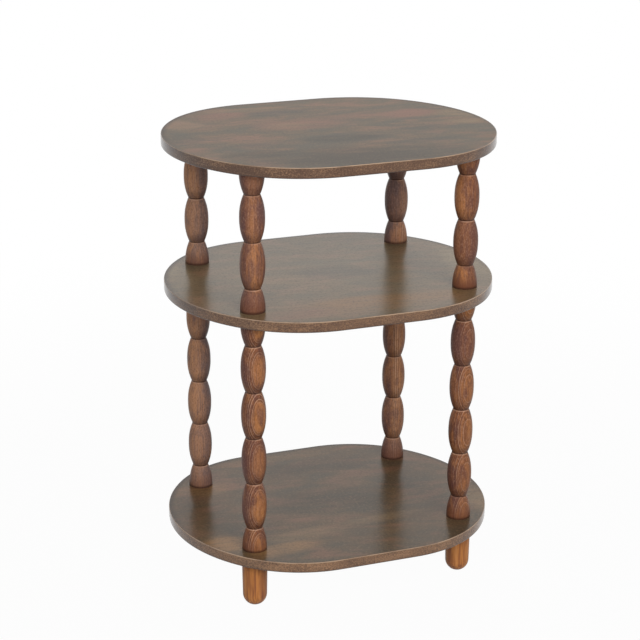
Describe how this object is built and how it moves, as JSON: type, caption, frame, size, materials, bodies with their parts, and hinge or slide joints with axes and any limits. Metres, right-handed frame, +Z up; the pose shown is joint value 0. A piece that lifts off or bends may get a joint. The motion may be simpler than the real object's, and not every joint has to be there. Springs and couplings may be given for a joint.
{
  "type": "tiered side table",
  "caption": "Oblong side table with bowed ends: equal walnut-brown tiers held apart by bobbin-turned posts, on short round feet with domed ends.",
  "frame": {"origin": "on the floor, under the middle of the table", "axes": "+Z up, +X along the tiers' long sides, -Y the front"},
  "size_m": [0.474, 0.405, 0.65],
  "materials": {
    "walnut_board": "satin walnut-stained board, grain along the long side",
    "walnut_edge": "satin walnut edge band with eased arrises",
    "post_wood": "reddish-brown stained softwood, satin lacquer, open growth rings",
    "foot_wood": "orange-brown stained softwood, satin lacquer",
    "zinc_steel": "bright zinc plate",
    "insert_brass": "plain brass"
  },
  "bodies": {
    "root": {"bottom_tier": "walnut_board", "bottom_edge_band": "walnut_edge", "middle_tier": "walnut_board", "middle_edge_band": "walnut_edge", "top_tier": "walnut_board", "top_edge_band": "walnut_edge", "foot_front_left": "foot_wood", "foot_front_right": "foot_wood", "foot_back_left": "foot_wood", "foot_back_right": "foot_wood", "lower_post_front_left": "post_wood", "lower_post_front_right": "post_wood", "lower_post_back_left": "post_wood", "lower_post_back_right": "post_wood", "upper_post_front_left": "post_wood", "upper_post_front_right": "post_wood", "upper_post_back_left": "post_wood", "upper_post_back_right": "post_wood", "foot_bolts": "zinc_steel", "lower_post_bolts": "zinc_steel", "upper_post_bolts": "zinc_steel", "lower_post_inserts": "insert_brass", "upper_post_inserts": "insert_brass", "top_tier_inserts": "insert_brass"}
  },
  "joints": []
}
